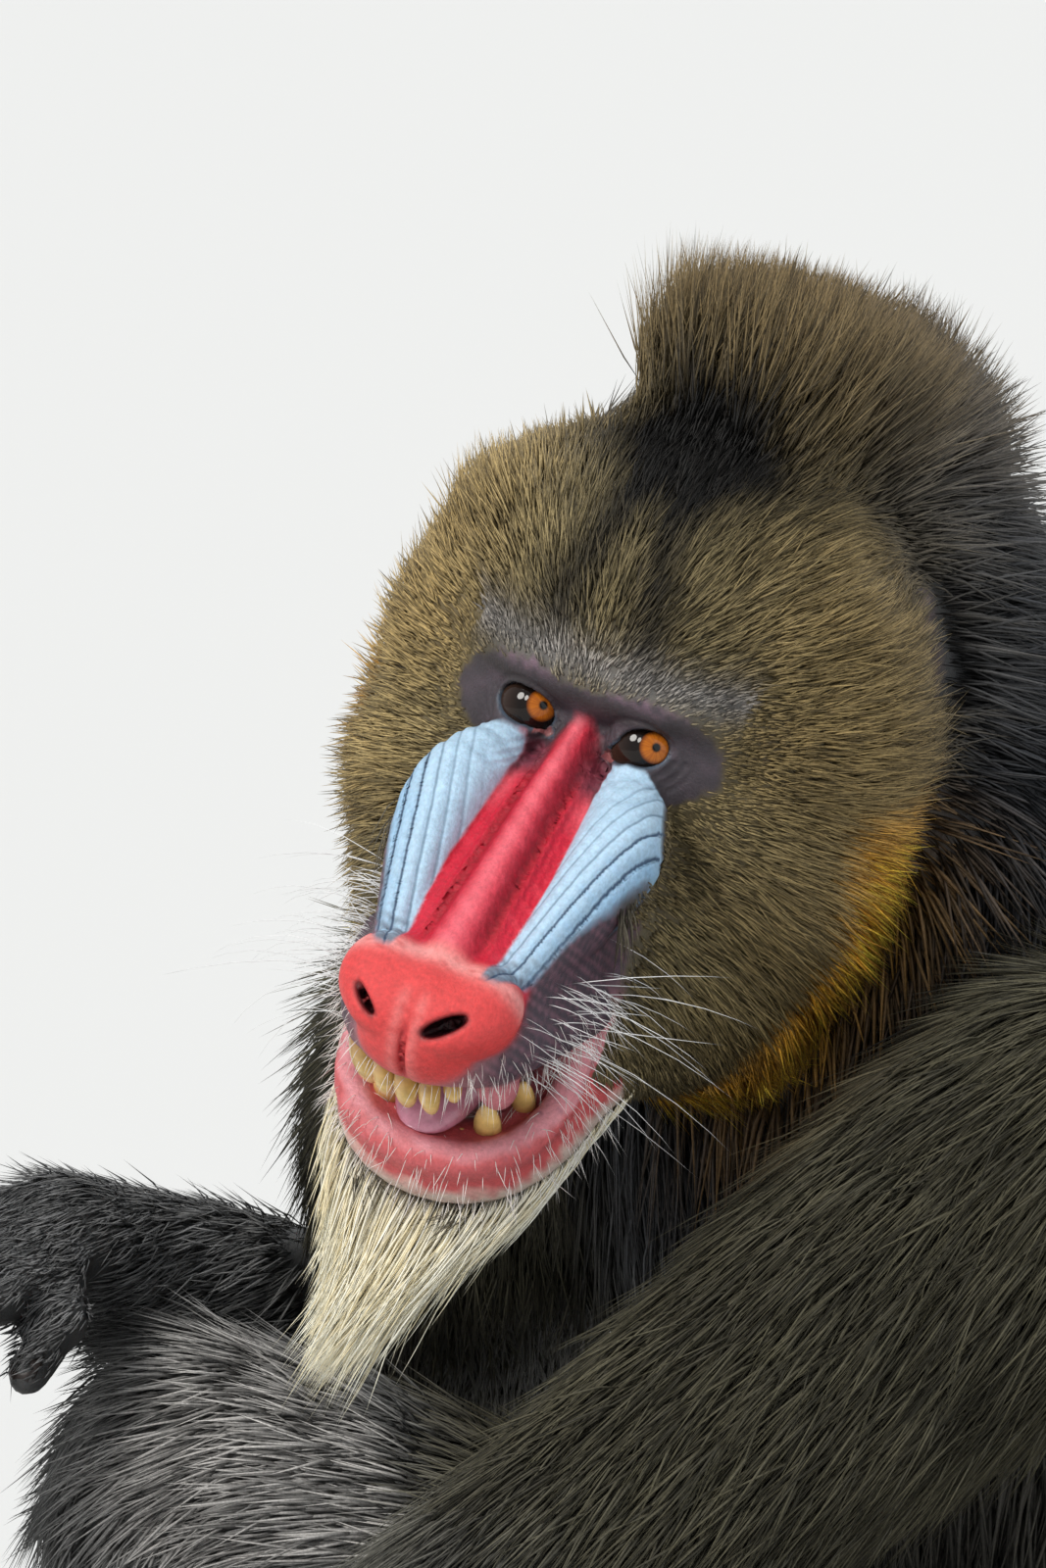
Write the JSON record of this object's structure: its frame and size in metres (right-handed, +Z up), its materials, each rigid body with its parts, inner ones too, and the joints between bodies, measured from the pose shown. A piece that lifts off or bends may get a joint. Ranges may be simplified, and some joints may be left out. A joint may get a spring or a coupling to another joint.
{
  "type": "mandrill, adult male, life-size still model",
  "caption": "Seated male mandrill with the right knee raised, a ridged coloured muzzle, bared teeth, a pointed beard and a tall crest.",
  "frame": {"origin": "on the floor, under the middle of the model's box", "axes": "+Z up; the animal faces -Y and its left side is +X; the head is turned about 20 degrees towards +X"},
  "size_m": [0.6472, 0.724, 0.6975],
  "materials": {
    "fur_olive": "soft matt fur",
    "skin_dark": "satin skin",
    "eye_amber": "wet gloss",
    "skin_red": "satin skin",
    "skin_blue": "satin skin",
    "skin_pink": "satin skin",
    "lip_red": "moist satin skin",
    "ivory": "satin enamel",
    "tongue_pink": "moist satin skin",
    "fur_gold": "soft matt fur",
    "fur_cream": "soft matt fur"
  },
  "bodies": {
    "root": {"head": "fur_olive", "eye_mask": "skin_dark", "eye_r": "eye_amber", "eye_l": "eye_amber", "nose": "skin_red", "swelling_r": "skin_blue", "swelling_l": "skin_blue", "muzzle": "skin_pink", "jaw": "lip_red", "teeth_upper": "ivory", "teeth_lower": "ivory", "tongue": "tongue_pink", "ear_r": "skin_dark", "ear_l": "skin_dark", "crest": "fur_gold", "ruff_r": "fur_olive", "ruff_l": "fur_olive", "beard": "fur_cream", "neck": "fur_olive", "chest": "fur_olive", "belly": "fur_olive", "tail": "fur_olive", "sitting_pad_r": "skin_pink", "sitting_pad_l": "skin_pink", "upper_arm_r": "fur_olive", "upper_arm_l": "fur_olive", "forearm_r": "fur_olive", "forearm_l": "fur_olive", "hand_r": "skin_dark", "hand_l": "skin_dark", "thigh_r": "fur_olive", "thigh_l": "fur_olive", "shin_r": "fur_olive", "shin_l": "fur_olive", "foot_r": "skin_dark", "foot_l": "skin_dark"}
  },
  "joints": []
}
